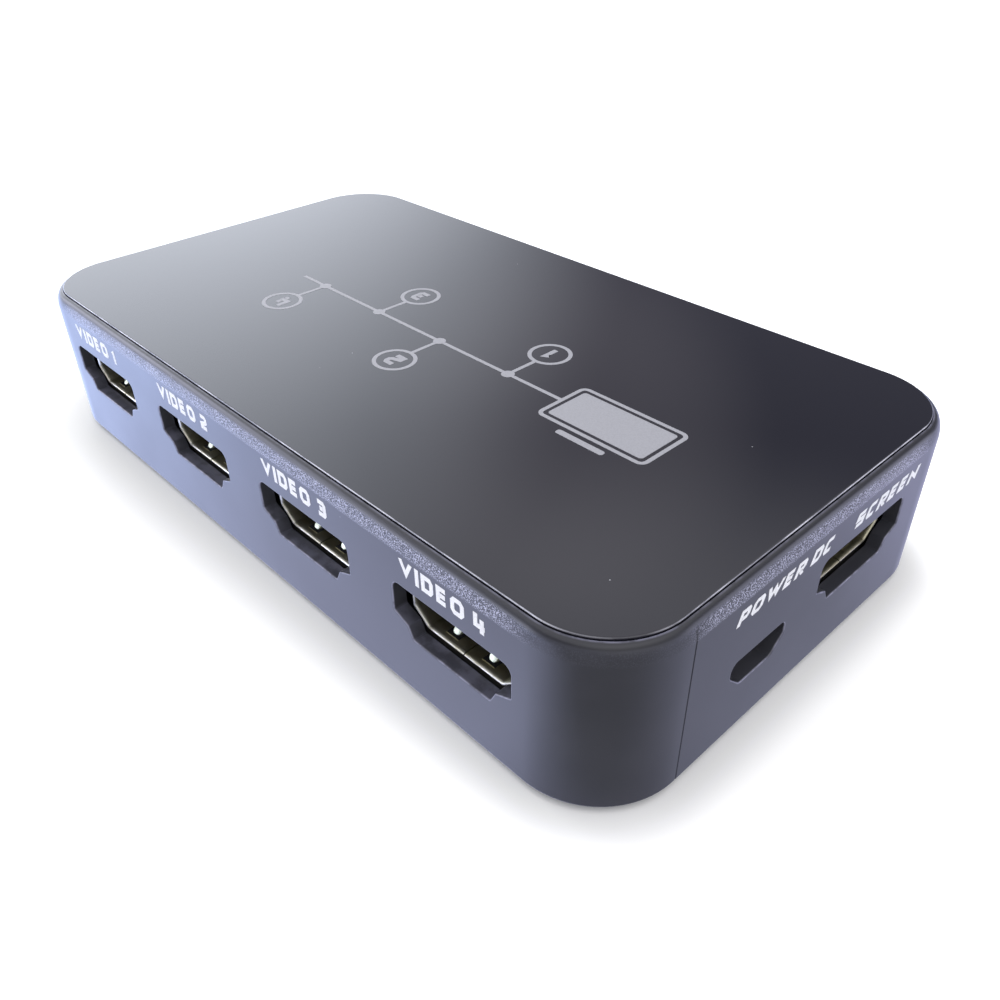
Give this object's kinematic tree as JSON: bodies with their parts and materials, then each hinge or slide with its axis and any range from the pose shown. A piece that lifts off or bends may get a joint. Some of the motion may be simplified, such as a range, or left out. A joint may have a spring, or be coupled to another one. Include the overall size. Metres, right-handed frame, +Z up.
{
  "type": "video switch box",
  "caption": "Flat black desktop box with a glossy top that joins one of several video inputs to one output; sockets on two sides, select button and lamps in front.",
  "frame": {"origin": "middle of the box on the surface that its feet stand on", "axes": "+X along the length towards the output socket, +Y towards the front with the select button, +Z up"},
  "size_m": [0.108, 0.0605, 0.0206],
  "materials": {
    "case_plastic": "fine spark-eroded grain, satin",
    "panel_gloss": "polished black acrylic",
    "tape_film": "double-sided film",
    "foot_rubber": "matte",
    "screw_steel": "zinc plated",
    "board_mask": "green solder mask on glass epoxy",
    "socket_metal": "tin plated sheet",
    "socket_black": "moulded black",
    "contact_gold": "gold plated",
    "button_plastic": "satin moulded",
    "clear_plastic": "clear moulded",
    "lamp_white": "moulded epoxy",
    "window_dark": "dark red acrylic",
    "chip_black": "moulded epoxy",
    "lead_tin": "tinned",
    "can_aluminium": "drawn can",
    "choke_grey": "moulded ferrite",
    "ceramic_tan": "fired ceramic"
  },
  "bodies": {
    "case": {"upper_shell": "case_plastic", "top_panel": "panel_gloss", "panel_tape": "tape_film", "base_plate": "case_plastic", "rubber_feet": "foot_rubber", "case_screws": "screw_steel", "main_board": "board_mask", "board_screws": "screw_steel", "input_1_shell": "socket_metal", "input_1_insulator": "socket_black", "input_1_contacts": "contact_gold", "input_2_shell": "socket_metal", "input_2_insulator": "socket_black", "input_2_contacts": "contact_gold", "input_3_shell": "socket_metal", "input_3_insulator": "socket_black", "input_3_contacts": "contact_gold", "input_4_shell": "socket_metal", "input_4_insulator": "socket_black", "input_4_contacts": "contact_gold", "output_shell": "socket_metal", "output_insulator": "socket_black", "output_contacts": "contact_gold", "power_inlet_shell": "socket_metal", "power_inlet_insulator": "socket_black", "power_inlet_contacts": "contact_gold", "switch_housing": "socket_black", "switch_cover": "socket_metal", "switch_dome": "socket_metal", "switch_terminals": "lead_tin", "light_pipe": "clear_plastic", "indicator_lamps": "lamp_white", "ir_window": "window_dark", "ir_receiver": "socket_black", "ir_leads": "lead_tin", "switch_chip": "chip_black", "switch_chip_leads": "lead_tin", "control_chip": "chip_black", "control_chip_leads": "lead_tin", "voltage_regulator": "chip_black", "regulator_leads": "lead_tin", "crystal": "socket_metal", "bulk_capacitors": "can_aluminium", "power_inductor": "choke_grey", "protection_arrays": "chip_black", "chip_capacitors": "ceramic_tan", "chip_resistors": "chip_black"},
    "button": {"select_button": "button_plastic"},
    "plunger": {"switch_plunger": "button_plastic"}
  },
  "joints": [
    {"name": "button_press", "type": "slide", "parent": "case", "child": "button", "axis": [0, -1, 0], "range_m": [0, 0.00025], "stiffness_N_per_m": 6000},
    {"name": "plunger_press", "type": "slide", "parent": "case", "child": "plunger", "axis": [0, -1, 0], "range_m": [0, 0.00025]}
  ],
  "couplings": [
    {"joint": "plunger_press", "follows": "button_press", "ratio": 1}
  ]
}
